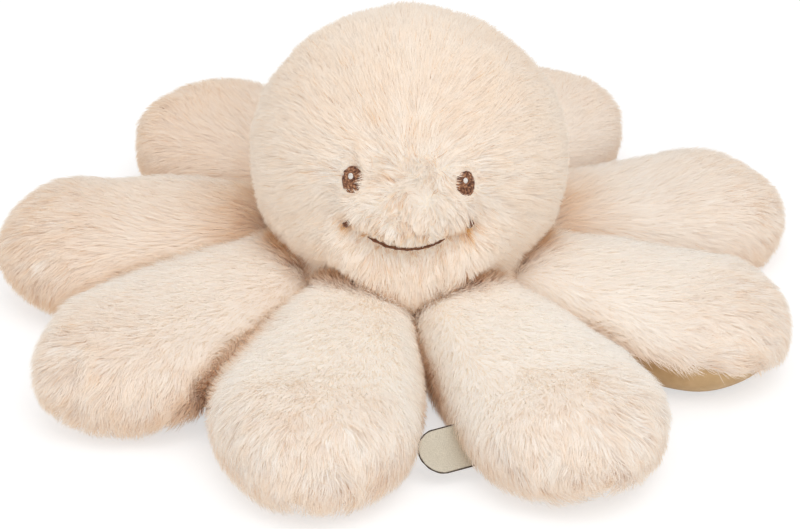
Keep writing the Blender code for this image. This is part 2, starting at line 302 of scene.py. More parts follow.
# The palest strands are paler at the root than at the tip, and the arms' paler than the head's: painted light
# against the shade deep in the pile.
HEAD_PALE_STOPS = [(0.0, (0.985, 0.940, 0.875)), (0.4, (0.975, 0.910, 0.835)), (1.0, (0.950, 0.848, 0.735))]
ARM_PALE_STOPS = [(0.0, (0.995, 0.975, 0.94)), (0.4, (0.995, 0.97, 0.93)), (1.0, (0.99, 0.94, 0.87))]
EYE_STOPS = [(0.34, (0.055, 0.018, 0.009)), (0.50, (0.20, 0.078, 0.038)), (0.68, (0.50, 0.26, 0.135))]
RIBBON_STOPS = [(0.3, (0.50, 0.455, 0.36)), (0.7, (0.66, 0.61, 0.50))]
KNIT_PITCH = 0.0006
KNIT_DEPTH = 0.0002


# Numbers over many points at once


def unit(rows):
    return rows / np.maximum(np.linalg.norm(rows, axis=-1, keepdims=True), 1e-12)


def dot(a, b):
    return np.sum(a * b, axis=-1, keepdims=True)


def flat_to(rows, normals):
    """The part of each row that lies along the surface."""
    return unit(rows - normals * dot(rows, normals))


def hashed(cells, seed):
    mixed = cells[..., 0] * 73856093 ^ cells[..., 1] * 19349663 ^ cells[..., 2] * 83492791 ^ seed * 2654435
    mixed = (mixed ^ (mixed >> 13)) * 1274126177 & 0x7FFFFFFF
    mixed = (mixed ^ (mixed >> 15)) * 747796405 & 0x7FFFFFFF
    return (mixed >> 7 & 0xFFFF) / 0x8000 - 1


def noise(points, size, seed):
    """Smooth noise from -1 to 1 whose lumps are about size across."""
    scaled = points / size + 100
    cell = np.floor(scaled).astype(np.int64)
    part = scaled - cell
    part = part * part * (3 - 2 * part)
    total = 0
    for corner in np.ndindex(2, 2, 2):
        weight = np.prod(np.where(corner, part, 1 - part), axis=-1)
        total = total + weight * hashed(cell + corner, seed)
    return total


def noise_vectors(points, size, seed):
    return np.stack([noise(points, size, seed + axis) for axis in range(3)], axis=-1)


def layered(kind, points, layers, seed=0):
    """Noise of one kind, added up over its layers."""
    return sum(kind(points, size, seed + own) * strength for size, strength, own in layers)


def ease(value, low, high):
    """From 0 where the value is low, or less, to 1 where it is high, or more."""
    share = np.clip((value - low) / (high - low), 0, 1)
    return share * share * (3 - 2 * share)


def blend(share, base, gain):
    """A base and what a share adds to it."""
    return base + gain * share


def fade(distance, reach, power=2):
    """1 at no distance, and less with it."""
    return np.exp(-((distance / reach) ** power))


def around(points, middle, reach):
    return fade(np.linalg.norm(points - middle, axis=1), reach)


def circle(count):
    return np.linspace(0, 2 * math.pi, count, endpoint=False)


def turned(radius, turn, height):
    """Points round the toy's axis, at a turn from the front."""
    return np.stack([radius * np.sin(turn), -radius * np.cos(turn), height], axis=-1)


def placed(points, matrix):
    return points @ np.array(matrix)[:3, :3].T + np.array(matrix)[:3, 3]


# Skins: grids of points that wrap round a form


def linked(name, data):
    """A new object, put in the scene."""
    made = bpy.data.objects.new(name, data)
    bpy.context.scene.collection.objects.link(made)
    return made


def add(name, data, body):
    piece = linked(name, data)
    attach(piece, body)
    return piece


def finished(name, bm, material):
    """A smooth mesh of a bmesh that is done."""
    mesh = bpy.data.meshes.new(name)
    bm.to_mesh(mesh)
    bm.free()
    mesh.shade_smooth()
    mesh.materials.append(material)
    return mesh


def grid_mesh(name, grid, round_rings, material):
    """A mesh over rows of points. Each row closes to a ring where round_rings is true."""
    rows, columns = grid.shape[:2]
    bm = bmesh.new()
    verts = [[bm.verts.new(point) for point in row] for row in grid]
    reach = columns if round_rings else columns - 1
    for row in range(rows - 1):
        for column in range(reach):
            after = (column + 1) % columns
            corners = (verts[row][column], verts[row][after], verts[row + 1][after], verts[row + 1][column])
            bm.faces.new(corners)
    bmesh.ops.remove_doubles(bm, verts=bm.verts, dist=1e-6)
    bm.normal_update()
    middle = np.mean(grid.reshape(-1, 3), axis=0)
    if sum((face.calc_center_median() - Vector(middle)).dot(face.normal) for face in bm.faces) < 0:
        bmesh.ops.reverse_faces(bm, faces=bm.faces[:])
    return finished(name, bm, material)


def head_profile():
    """Radius and height down the head: its ball, the neck that draws in above the arms, and the foot."""
    rows = []
    for polar in np.linspace(0.0, BALL_END, 40):
        radius = (HEAD_RADIUS - HEAD_INSET) * math.sin(polar)
        rows.append((radius, HEAD_CENTRE.z + (HEAD_HALF_HEIGHT - HEAD_INSET) * math.cos(polar)))
    neck_radius, neck_height = rows[-1]
    for share in np.linspace(0, 1, 9)[1:]:
        radius = neck_radius + (FOOT_RADIUS - neck_radius) * math.sin(share * math.pi / 2)
        rows.append((radius, neck_height + (FOOT_HEIGHT - neck_height) * share))
    return np.array(rows)


def crease_drop(turn):
    """How far below the head's middle the crease of the mouth runs, at a turn."""
    share = np.minimum(np.abs(turn), CREASE_HALF_TURN) / MOUTH_HALF_TURN
    return MOUTH_MIDDLE_DROP + (MOUTH_END_DROP - MOUTH_MIDDLE_DROP) * share**2


def face_turn(points):
    """A point's turn from the front and its rise above the mouth's crease, in degrees."""
    turn = np.degrees(np.arctan2(points[..., 0], -points[..., 1]))
    rise = np.degrees(np.arcsin(np.clip((points[..., 2] - HEAD_CENTRE.z) / HEAD_HALF_HEIGHT, -1, 1)))
    return turn, rise + crease_drop(turn)


def face_swell(points):
    """How far the muzzle and the chin stand out of the ball, either side of the crease."""
    turn, above = face_turn(points)
    total = 0
    for side, proud, start, end, middle, half_rise, half_turn in FACE_SWELLS:
        bump = np.exp(-(((side * above - middle) / half_rise) ** 2) - (turn / half_turn) ** 4)
        total = total + proud * (ease(side * above, start, end) * bump)
    return total


def head_grid():
    profile = head_profile()
    turns = circle(144)
    radius = profile[:, 0][:, None]
    height = np.repeat(profile[:, 1][:, None], len(turns), axis=1)
    grid = turned(radius, turns, height)
    outward = unit(grid - np.array(HEAD_CENTRE))
    raised = (face_swell(grid) + layered(noise, grid, HEAD_LUMPS)) * ease(height, 0.020, 0.040)
    between_arms = np.maximum(np.cos(turns * len(ARMS)), 0) ** 2
    neck = fade(height - NECK_HEIGHT, NECK_HALF_HEIGHT) * between_arms
    level = unit(grid * np.array([1, 1, 0]))
    return grid + outward * raised[..., None] + level * (NECK_FULL * neck)[..., None]


def arm_place(index, sway, extra):
    seat = math.radians(360 / len(ARMS) * (index + 0.5))
    along = seat + math.radians(sway)
    pivot = Vector((-math.sin(seat), -math.cos(seat), 0)) * ARM_ROOT_CIRCLE
    pivot.z = ARM_HINGE_HEIGHT
    turn = Matrix.Rotation(-math.pi / 2 - along, 4, "Z")
    climb = Matrix.Rotation(-ARM_RISE - math.radians(extra), 4, "Y")
    return Matrix.Translation(pivot) @ turn @ climb


def swell(x, root, most, peak, length, start=None):
    """Half a width along an arm, from its round root of a radius to its widest place and its blunt tip."""
    start = start or root
    rounded = start * np.sqrt(np.maximum(1 - (np.minimum(x, 0) / root) ** 2, 0))
    grown = np.clip(x / peak, 0, 1)
    grown = np.sin(math.pi / 2 * grown) * (1 - LATE_SWELL_SHARE) + ease(grown, 0, 1) * LATE_SWELL_SHARE
    rising = start + (most - start) * grown
    falling = most * np.sqrt(np.maximum(1 - (np.maximum(x - peak, 0) / (length - peak)) ** 2, 0))
    return np.where(x < 0, rounded, np.where(x < peak, rising, falling))


def arm_section(share, angle, length_share, girth_share, bend, slant):
    """A point on the arm's skin: share runs from root to tip, angle round it from +Y over the top."""
    length = (ARM_LENGTH - ARM_INSET) * length_share
    root = ARM_ROOT_RADIUS - ARM_INSET
    x = (length - root) / 2 - (length + root) / 2 * np.cos(math.pi * share)
    width = swell(x, root, (ARM_HALF_WIDTH - ARM_INSET) * girth_share, length * WIDEST_SHARE, length)
    thick = (ARM_HALF_THICK - ARM_INSET) * girth_share
    top = swell(x, root, thick, length * THICKEST_SHARE, length, ARM_SHOULDER)
    bottom = swell(x, root, ARM_HALF_THICK, length * THICKEST_SHARE, length)
    puff = blend(ease(x / length, 0.20, 0.65), ROOT_PUFF, PUFF - ROOT_PUFF)
    side = width * np.sign(np.cos(angle)) * np.abs(np.cos(angle)) ** puff
    lift = np.sign(np.sin(angle)) * np.abs(np.sin(angle)) ** puff
    cut = np.maximum(np.sign(slant) * side / ARM_HALF_WIDTH, 0) ** 2 * ease(x / length, 0.4, 1.0)
    side = side + bend * np.maximum(x / length, 0) ** 2
    return np.stack([x * (1 - abs(slant) * cut), side, np.where(lift > 0, top, bottom) * lift], axis=-1)


def arm_grids(roll, length_share, girth_share, bend, slant):
    """The arm's upper skin and its sole, in its own frame, either side of the seam."""
    shape = (length_share, girth_share, bend, slant)
    shares = np.linspace(0, 1, 56)[:, None]
    tilt = math.radians(roll)
    middle = arm_section(shares, np.zeros((1, 1)), *shape)
    width = np.maximum(middle[..., 1] - bend * np.maximum(middle[..., 0] / ARM_LENGTH, 0) ** 2, 1e-4)
    high = np.maximum(width * (ARM_HALF_THICK / ARM_HALF_WIDTH), 1e-4)
    size = np.hypot(width * math.sin(tilt), high * math.cos(tilt))
    lean = np.arctan2(width * math.sin(tilt), high * math.cos(tilt))
    drop = ARM_SEAM_DROP * (1 + TIP_SEAM_SHARE * ease(shares, 0.70, 0.95))
    most = SEAM_REACH + TIP_SEAM_REACH * ease(shares, 0.75, 0.95)
    dip = np.arcsin(np.clip(drop / size, 0, most))
    start, end = lean - dip, lean + math.pi + dip
    upper = arm_section(shares, start + (end - start) * np.linspace(0, 1, 64)[None], *shape)
    sole = arm_section(shares, end + (start + 2 * math.pi - end) * np.linspace(0, 1, 40)[None], *shape)
    return upper, sole


def dressed_arm(points, seed, climb):
    """Uneven stuffing, and flat where the arm rests."""
    out = unit(points * np.array([0.25, 1, 1]))
    points = points + out * layered(noise, points, ARM_LUMPS, seed)[..., None]
    floor = -(ARM_HINGE_HEIGHT + points[..., 0] * math.sin(climb)) / math.cos(climb) + FLOOR_CLEAR
    points[..., 2] = np.maximum(points[..., 2], floor)
    return points


# Fur strands


def threes(items, name, kind=float):
    """The three numbers of a name that each item has."""
    rows = np.empty(len(items) * 3, dtype=kind)
    items.foreach_get(name, rows)
    return rows.reshape(-1, 3)


def scatter(mesh, rng):
    """Roots spread evenly over a mesh by area: their places and surface normals."""
    mesh.calc_loop_triangles()
    places, normals = threes(mesh.vertices, "co"), threes(mesh.vertex_normals, "vector")
    corners = threes(mesh.loop_triangles, "vertices", np.int64)
    a, b, c = (places[corners[:, k]] for k in range(3))
    areas = np.linalg.norm(np.cross(b - a, c - a), axis=1) / 2
    total = areas.sum()
    count = int(total * 1e6 * STRANDS_PER_MM2)
    picks = np.searchsorted(np.cumsum(areas), (np.arange(count) + rng.random(count)) / count * total)
    picks = np.minimum(picks, len(areas) - 1)
    s, t = rng.random((2, count))
    over = s + t > 1
    s[over], t[over] = 1 - s[over], 1 - t[over]
    weights = np.stack([1 - s - t, s, t], axis=1)[..., None]
    roots = (places[corners[picks]] * weights).sum(axis=1)
    return roots, unit((normals[corners[picks]] * weights).sum(axis=1))


def from_head(points):
    """About how far points lie from the head's ball."""
    axes = np.array([HEAD_RADIUS, HEAD_RADIUS, HEAD_HALF_HEIGHT])
    return (np.linalg.norm((points - np.array(HEAD_CENTRE)) / axes, axis=1) - 1) * HEAD_RADIUS


def from_arm(points, index):
    """About how far points lie from an arm's side."""
    _, sway, _, length_share, girth_share, extra, bend, _ = ARMS[index]
    local = placed(points, arm_place(index, sway, extra).inverted())
    length = ARM_LENGTH * length_share
    x = local[:, 0]
    width = swell(x, ARM_ROOT_RADIUS, ARM_HALF_WIDTH * girth_share, length * WIDEST_SHARE, length)
    thick = swell(x, ARM_ROOT_RADIUS, ARM_HALF_THICK * girth_share, length * THICKEST_SHARE, length)
    width, thick = np.maximum(width, LEAST_HALF), np.maximum(thick, LEAST_HALF)
    side = (local[:, 1] - bend * np.maximum(x / length, 0) ** 2) / width
    return (np.hypot(side, local[:, 2] / thick) - 1) * np.minimum(width, thick)


def touching(points, index, reach, gap):
    """1 within a gap of what lies against a piece, and less beyond it. An index past the arms is the head."""
    count = len(ARMS)
    near = np.full(len(points), 1.0)
    if index < count:
        near = np.minimum(near, from_head(points))
        others = ((index - 1) % count, (index + 1) % count)
    else:
        others = range(count)
    for other in others:
        near = np.minimum(near, from_arm(points, other))
    return fade(np.maximum(near - gap, 0), reach)


def painted_crease_shade(roots, paths, index):
    """How far strands lie in a crease, at their roots or near their tips, which sets their painted crease
    shade.
    """
    return np.maximum(touching(roots, index, *CREASE_SHADE_ROOTS), touching(paths[:, 2], index, *CREASE_SHADE_TIPS))


def strand_paths(roots, normals, flow, length, lean_root, lean_tip):
    paths = np.empty((len(roots), STRAND_STEPS + 1, 3))
    paths[:, 0] = roots
    for step in range(STRAND_STEPS):
        lean = lean_root + (lean_tip - lean_root) * (step + 0.5) / STRAND_STEPS
        heading = unit(normals * np.cos(lean)[:, None] + flow * np.sin(lean)[:, None])
        paths[:, step + 1] = paths[:, step] + heading * (length / STRAND_STEPS)[:, None]
    return paths


def gather(paths, spacing, strength, rng):
    """Strands draw together into tufts about spacing apart."""
    area = len(paths) / STRANDS_PER_MM2 * 1e-6
    count = max(int(area / spacing**2), 4)
    guides = rng.choice(len(paths), min(count, len(paths)), replace=False)
    tree = kdtree.KDTree(len(guides))
    for index, guide in enumerate(guides):
        tree.insert(paths[guide, 0], index)
    tree.balance()
    nearest = np.array([tree.find(root)[1] for root in paths[:, 0]])
    pull = np.linspace(0, 1, STRAND_STEPS + 1) ** 1.4
    pull = pull[None, :, None] * np.asarray(strength).reshape(-1, 1, 1)
    return paths + (paths[guides][nearest] - paths) * pull, nearest


def grow(roots, normals, flow, length, leans, locks, tufts, rng):
    """The strands' paths, drawn together into locks and tufts above the floor, and the tuft of each."""
    paths = strand_paths(roots, normals, flow, length, *leans)
    paths, _ = gather(paths, *locks, rng)
    paths, tuft_of = gather(paths, *tufts, rng)
    paths[..., 2] = np.maximum(paths[..., 2], FLOOR_CLEAR)
    return paths, tuft_of


def strand_mesh(name, paths, normals, widths, shade, material, rng):
    """One tapered ribbon for each strand, turned so that its face looks out of the fur."""
    count, points = paths.shape[:2]
    along = np.empty_like(paths)
    along[:, 1:-1] = paths[:, 2:] - paths[:, :-2]
    along[:, 0] = paths[:, 1] - paths[:, 0]
    along[:, -1] = paths[:, -1] - paths[:, -2]
    along = unit(along)
    outward = np.broadcast_to(normals[:, None], along.shape)
    face = flat_to(outward, along)
    side = np.cross(along, face)
    roll = rng.uniform(-1, 1, count)[:, None, None] * STRAND_ROLL
    facing = face * np.cos(roll) + side * np.sin(roll)
    across = np.cross(along, facing) * (widths[:, None] * WIDTH_SHARES / 2)[..., None]
    soft = unit(facing * FACING_SHARE + outward * (1 - FACING_SHARE))

    body = slice(0, points - 1)
    pairs = np.stack([paths[:, body] - across[:, body], paths[:, body] + across[:, body]], axis=2)
    verts = np.concatenate([pairs.reshape(count, -1, 3), paths[:, -1:]], axis=1)
    pair_normals = np.repeat(soft[:, body], 2, axis=1)
    vert_normals = np.concatenate([pair_normals, soft[:, -1:]], axis=1)
    each = verts.shape[1]

    pattern = []
    for low in range(0, 2 * (points - 2), 2):
        pattern += [low, low + 1, low + 3, low + 2]
    pattern = np.array(pattern + [each - 3, each - 2, each - 1])
    loops = (np.arange(count)[:, None] * each + pattern).ravel()
    starts = np.arange(0, 4 * (points - 2) + 1, 4)
    starts = (np.arange(count)[:, None] * len(pattern) + starts).ravel()

    mesh = bpy.data.meshes.new(name)
    mesh.vertices.add(count * each)
    mesh.vertices.foreach_set("co", verts.ravel().astype(np.float32))
    mesh.loops.add(len(loops))
    mesh.loops.foreach_set("vertex_index", loops.astype(np.int32))
    mesh.polygons.add(len(starts))
    mesh.polygons.foreach_set("loop_start", starts.astype(np.int32))
    mesh.update(calc_edges=True)
    mesh.shade_smooth()
    sides = np.where(pattern % 2 == 0, -MAP_HALF_STRAND, MAP_HALF_STRAND)
    u = blend(shade[:, None], *MAP_ACROSS) + sides
    v = np.repeat(blend(pattern // 2 / (points - 1), *MAP_UP)[None], count, axis=0)
    uv = mesh.uv_layers.new(name="OFBake")
    uv.uv.foreach_set("vector", np.stack([u, v], axis=-1).ravel().astype(np.float32))
    mesh.normals_split_custom_set_from_vertices(vert_normals.reshape(-1, 3).tolist())
    mesh.materials.append(material)
    return mesh


def add_fur(start, body, parts, strands, material, rng):
    """One piece of fur for each part of a body's strands."""
    for part, own in parts:
        name = start + "_fur_" + part
        mesh = strand_mesh(name, *(rows[own] for rows in strands), material, rng)
        add(name, mesh, body)


# Materials


def make_node(nodes, kind, **values):
    """A shader node, with values for its inputs."""
    node = nodes.new("ShaderNode" + kind)
    for name, value in values.items():
        node.inputs[name].default_value = value
    return node


def wire(links, *rows):
    """Each row joins an output of one node to an input of another."""
    for before, output, after, entry in rows:
        links.new(before.outputs[output], after.inputs[entry])


def new_material(name, roughness, sheen=0.0, specular=0.2):
    material = bpy.data.materials.new(name)
    material.use_nodes = True
    shader = material.node_tree.nodes["Principled BSDF"]
    shader.inputs["Roughness"].default_value = roughness
    shader.inputs["Specular IOR Level"].default_value = specular
    shader.inputs["Sheen Weight"].default_value = sheen
    shader.inputs["Sheen Roughness"].default_value = 0.5
    return material, material.node_tree.nodes, material.node_tree.links, shader


def ramp(nodes, stops):
    node = nodes.new("ShaderNodeValToRGB")
    elements = node.color_ramp.elements
    while len(elements) < len(stops):
        elements.new(0.5)
    for element, (place, colour) in zip(elements, stops):
        element.position = place
        element.color = (*colour, 1)
    return node


def strand_material(name, dark_stops, pale_stops, roughness, sheen):
    """Colour from root to tip up the map, and from the darker strands to the paler ones across it."""
    material, nodes, links, shader = new_material(name, roughness, sheen)
    uv, split, mix = (make_node(nodes, kind) for kind in ("UVMap", "SeparateXYZ", "Mix"))
    uv.uv_map = "OFBake"
    mix.data_type = "RGBA"
    dark, pale = ramp(nodes, dark_stops), ramp(nodes, pale_stops)
    through, side, both = (make_node(nodes, kind) for kind in ("BsdfTranslucent", "NewGeometry", "MixShader"))
    wire(
        links,
        (uv, "UV", split, 0),
        (split, "Y", dark, 0),
        (split, "Y", pale, 0),
        (split, "X", mix, "Factor"),
        (dark, "Color", mix, "A"),
        (pale, "Color", mix, "B"),
        (mix, "Result", shader, "Base Color"),
        (mix, "Result", through, "Color"),
        (side, "Backfacing", both, 0),
        (shader, 0, both, 1),
        (through, 0, both, 2),
        (both, 0, nodes["Material Output"], 0),
    )
    return material


def cloth_material(name, stops, size, bump, roughness, sheen):
    """Cloth whose colour and nap vary with noise in the piece's own coordinates."""
    material, nodes, links, shader = new_material(name, roughness, sheen)
    place, colour = make_node(nodes, "TexCoord"), ramp(nodes, stops)
    fine = make_node(nodes, "TexNoise", Scale=1 / size, Detail=4)
    knit = make_node(nodes, "TexVoronoi", Scale=1 / KNIT_PITCH)
    rise = make_node(nodes, "Bump", Strength=bump, Distance=KNIT_DEPTH)
    wire(
        links,
        (place, "Object", fine, "Vector"),
        (fine, "Fac", colour, 0),
        (colour, "Color", shader, "Base Color"),
        (place, "Object", knit, "Vector"),
        (knit, "Distance", rise, "Height"),
        (rise, "Normal", shader, "Normal"),
    )
    return material


def ribbon_finish():
    """Ribbed satin: fine ribs across the ribbon, faint slubs and a soft shine."""
    material, nodes, links, shader = new_material("tag_satin", 0.42, 0.15, 0.4)
    place, colour = make_node(nodes, "TexCoord"), ramp(nodes, RIBBON_STOPS)
    stretch = make_node(nodes, "Mapping", Scale=(2600, 2600, 240))
    slubs = make_node(nodes, "TexNoise", Scale=1.0, Detail=3)
    rise = make_node(nodes, "Bump", Strength=0.35, Distance=0.0001)
    wire(
        links,
        (place, "Object", stretch, "Vector"),
        (stretch, "Vector", slubs, "Vector"),
        (slubs, "Fac", colour, 0),
        (colour, "Color", shader, "Base Color"),
        (slubs, "Fac", rise, "Height"),
        (rise, "Normal", shader, "Normal"),
    )
    return material


head_fur_material = strand_material("head_pile", DARK_TONE_AND_SHADE_STOPS, HEAD_PALE_STOPS, roughness=0.9, sheen=0.12)
arm_fur_material = strand_material("arm_pile", DARK_TONE_AND_SHADE_STOPS, ARM_PALE_STOPS, roughness=0.9, sheen=0.25)
backing_material = cloth_material(
    "plush_backing", [(0.3, (0.92, 0.80, 0.66)), (0.7, (0.95, 0.86, 0.74))], 0.004, 0.3, 0.95, 0.0
)
sole_material = cloth_material(
    "smooth_cloth", [(0.3, (0.52, 0.34, 0.17)), (0.7, (0.62, 0.43, 0.23))], 0.006, 0.25, 0.85, 0.2
)
eye_material = cloth_material("eye_satin_stitch", EYE_STOPS, 0.0009, 0.5, 0.55, 0.25)
glint_material = cloth_material(
    "white_satin_stitch", [(0.3, (0.62, 0.58, 0.54)), (0.7, (0.82, 0.79, 0.76))], 0.0008, 0.3, 0.45, 0.1
)
thread_material = cloth_material(
    "brown_thread", [(0.3, (0.09, 0.030, 0.012)), (0.7, (0.22, 0.085, 0.040))], 0.0009, 0.3, 0.6, 0.2
)
seam_material = cloth_material(
    "seam_thread", [(0.3, (0.55, 0.38, 0.22)), (0.7, (0.70, 0.52, 0.34))], 0.0012, 0.2, 0.6, 0.1
)
edge_material = cloth_material(
    "dark_binding", [(0.3, (0.045, 0.032, 0.022)), (0.7, (0.10, 0.07, 0.05))], 0.0015, 0.2, 0.6, 0.1
)
ribbon_material = ribbon_finish()


# Head


def head_places(turn, rise, lift=0.0):
    """Points over the head at a turn and a rise, in degrees, on the solid's surface."""
    turn, rise = np.radians(turn), np.radians(rise)
    places = turned(HEAD_RADIUS * np.cos(rise), turn, HEAD_HALF_HEIGHT * np.sin(rise))
    places = places + unit(places) * lift
    return places + np.array(HEAD_CENTRE)


def head_spot(turn, rise, lift):
    """The frame of a patch over the head's pile: X across, Y up and Z outward."""
    near = 0.5
    across = Vector(head_places(turn + near, rise) - head_places(turn - near, rise)).normalized()
    up = Vector(head_places(turn, rise + near) - head_places(turn, rise - near))
    outward = across.cross(up).normalized()
    axes = Matrix((across, outward.cross(across), outward)).transposed().to_4x4()
    return Matrix.Translation(Vector(head_places(turn, rise)) + outward * lift) @ axes


def mouth_line(count, lift=0.0):
    turns = MOUTH_HALF_TURN * np.linspace(*MOUTH_ENDS, count)
    return head_places(turns, -crease_drop(turns), lift)


def head_flow(points, face):
    """The pile is combed away from the middle of the face, where it is unruly, and hangs below it."""
    middle = head_places(0.0, PARTING_RISE)
    parting = around(points, middle, 0.014)[:, None]
    below = ease(middle[2] - points[:, 2], 0.000, 0.012) * fade(points[:, 0], 0.028, 4)
    below = (below * (points[:, 1] < 0))[:, None]
    still = np.zeros(len(points))
    hanging = np.stack([points[:, 0] * 11, still, still - 1], axis=-1)
    flow = (unit(points - middle) + np.array([0, 0, -COMBED_DOWN])) * (1 - below) + hanging * below
    return flow * (1 - PARTING_CALM * parting) + layered(noise_vectors, points, UNRULY_SWIRL) * face[:, None]


def head_roots(skin, rng):
    """Roots and normals over the head, but not at its foot or through the eyes, and how far from an eye."""
    roots, normals = scatter(skin, rng)
    spots = [head_spot(turn, rise, 0.0).inverted() for _, turn, rise in EYES]
    half_sizes = np.array([EYE_HALF_WIDTH, EYE_HALF_HEIGHT])
    rims = np.array([np.linalg.norm(placed(roots, spot)[:, :2] / half_sizes, axis=1) for spot in spots])
    to_eye = np.where(roots[:, 1] > 0, 9.0, rims.min(axis=0))
    keep = (roots[:, 2] > FOOT_BARE) & (to_eye > EYE_BARE)
    return roots[keep], normals[keep], to_eye[keep]


def head_regions(roots, to_eye):
    """Where each root lies on the face, and how far it belongs to each region, from 0 to 1."""
    at = SimpleNamespace(ahead=roots[:, 1] < 0)
    at.turn, at.above = face_turn(roots)
    line = mouth_line(40)
    at.to_mouth = np.linalg.norm(roots[:, None] - line[None], axis=-1).min(axis=1) - HEAD_INSET
    across, up = roots[:, 0], roots[:, 2] - HEAD_CENTRE.z + FACE_DROP
    face = np.exp(-((across / FACE_HALF_SIZE) ** 2) - (up / FACE_HALF_SIZE) ** 2)
    at.face = np.where(at.ahead, face, 0)
    at.muzzle = at.face * ease(at.above, -2.0, 2.0)
    at.chin = np.where(at.ahead, ease(-at.above, 2.0, 9.0) * fade(at.turn, 28.0, 4), 0)
    at.eye = fade(to_eye - EYE_BARE, 0.55)
    at.pressed = touching(roots, len(ARMS), *PRESSED)
    return at


def head_lengths(roots, at, rng):
    """The pile is short on the face, round the eyes and at the crease, and a little longer on the chin."""
    count = len(roots)
    length = PILE * (1 - FACE_SHORTER * at.face) * blend(rng.random(count), *HEAD_LENGTHS)
    lip = np.where(at.above > 0, *LIP_REACHES)
    shorter = blend(rng.random(count) ** 3, *LIP_SHORTER)
    length *= 1 - shorter * (1 - ease(at.to_mouth, LIP_BARE, lip))
    length *= 1 - EYE_SHORTER * at.eye
    for turn in (-CORNER_TURN, CORNER_TURN):
        length *= 1 - CORNER_SHORTER * around(roots, head_places(turn, -CORNER_DROP), 0.0026)
    length *= blend(ease(roots[:, 2], 0.018, 0.030), *FOOT_LENGTHS)
    low = ease(-at.above, 12.0, 22.0) * fade(at.turn, 30.0, 4)
    return length * (1 + CHIN_LONGER * np.where(at.ahead, low, 0))


def head_shade(roots, paths, tufts, at, rng):
    """0 for the darkest strands to 1 for the palest, with painted shade in the creases and round the face."""
    count = len(roots)
    height = roots[:, 2]
    # Painted shade: strands in the creases against the arms are darker.
    crevice = painted_crease_shade(roots, paths, len(ARMS)) * blend(noise(roots, 0.006, 91), *HEAD_CREASE_SHADE_UNEVEN)
    # Painted shade round the sunk eyes.
    dark = HEAD_CREASE_SHADE * crevice + EYE_RIM_SHADE * at.eye
    # Painted shade in the dimples at the mouth's corners.
    for turn, drop, depth, reach in CORNER_DIMPLE_SHADES:
        dark += depth * around(roots, head_places(turn, -drop), reach)
    # Painted shade in a band under the lip, below the mouth's crease.
    lip = ((at.above + 4.0) / 3.0) ** 2
    dark += np.where(at.ahead, LIP_SHADE * np.exp(-lip - (at.turn / 22.0) ** 4), 0)
    # Painted shade: a band over the upper head is darker, where the lamps fall brightest.
    crown = CROWN_SHADE * ease(height, 0.085, 0.105) * (1 - ease(height, 0.110, 0.122))
    # Strands are darker close to the mouth's thread.
    dark += crown + MOUTH_DARKENING * fade(at.to_mouth, 0.0017)
    tuft = np.clip(rng.normal(0, 1, tufts.max() + 1), -TUFT_SHADE_MOST, TUFT_SHADE_MOST)[tufts]
    tuft = tuft * blend(at.face, *TUFT_SHADE)
    speck = rng.normal(0, 1, count) * blend(at.face, *SPECK_SHADE)
    patches = ease(noise(roots, 0.0065, 95), 0.0, 0.5) * at.face * ease(at.above, 2.0, 12.0)
    speck -= FLECK_SHADE * (rng.random(count) < blend(patches, *FLECK_SHARES))
    # Paler on the face: painted light.
    shade = blend(at.face, *HEAD_SHADE) + HEAD_SHADE_WAVE * noise(roots, 0.012, 61)
    return np.clip(shade + tuft + speck - dark, *SHADE_LIMITS)


def build_head():
    rng = np.random.default_rng(11)
    skin = grid_mesh("head_skin", head_grid()[::-1], True, backing_material)
    piece = add("head_skin", skin, "body")
    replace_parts(piece, "head_plush", "head_filling")

    roots, normals, to_eye = head_roots(skin, rng)
    count = len(roots)
    at = head_regions(roots, to_eye)
    length = head_lengths(roots, at, rng)
    swirl = layered(noise_vectors, roots, HEAD_SWIRL)
    jitter = rng.normal(0, JITTER, (count, 3)) * (1 + EYE_JITTER * at.eye[:, None])
    level = unit(roots * np.array([1, 1, 0])) * PRESSED_HEAD_OUT * at.pressed[:, None]
    flow = head_flow(roots, at.face) * (1 - EYE_CALM * at.eye[:, None])
    flow = flat_to(flow + level + swirl + jitter, normals)
    lean_root = HEAD_LEAN_ROOT + rng.normal(0, LEAN_SPREAD, count) - PRESSED_HEAD_UPRIGHT * at.pressed
    lean_tip = HEAD_LEAN_TIP + HEAD_LEAN_WAVE * noise(roots, 0.009, 51)
    lean_tip = lean_tip + rng.normal(0, 0.10, count)
    pull = blend(at.face, *TUFT_PULL) + MUZZLE_PULL * at.muzzle
    pull = pull * (1 - EYE_PULL_LESS * at.eye) * (1 - CHIN_PULL_LESS * at.chin)
    leans, tuft = (lean_root, lean_tip), (HEAD_TUFT, pull)
    paths, tufts = grow(roots, normals, flow, length, leans, HEAD_LOCKS, tuft, rng)
    shade = head_shade(roots, paths, tufts, at, rng)
    widths = STRAND_WIDTH * blend(rng.random(count), *WIDTH_SPREAD) * (1 + FACE_WIDER * at.face)
    lit = unit(normals + np.array([0, 0, 1.0]) * np.maximum(at.chin, at.pressed)[:, None])

    turns = np.arctan2(roots[:, 0], -roots[:, 1])
    wedge = 2 * math.pi / len(HEAD_SIDES)
    sector = np.floor((turns + wedge / 2) / wedge).astype(int) % len(HEAD_SIDES)
    sides = [(side, sector == number) for number, side in enumerate(HEAD_SIDES)]
    add_fur("head", "body", sides, (paths, lit, widths, shade), head_fur_material, rng)


# Face: satin-stitched eyes and stitched thread


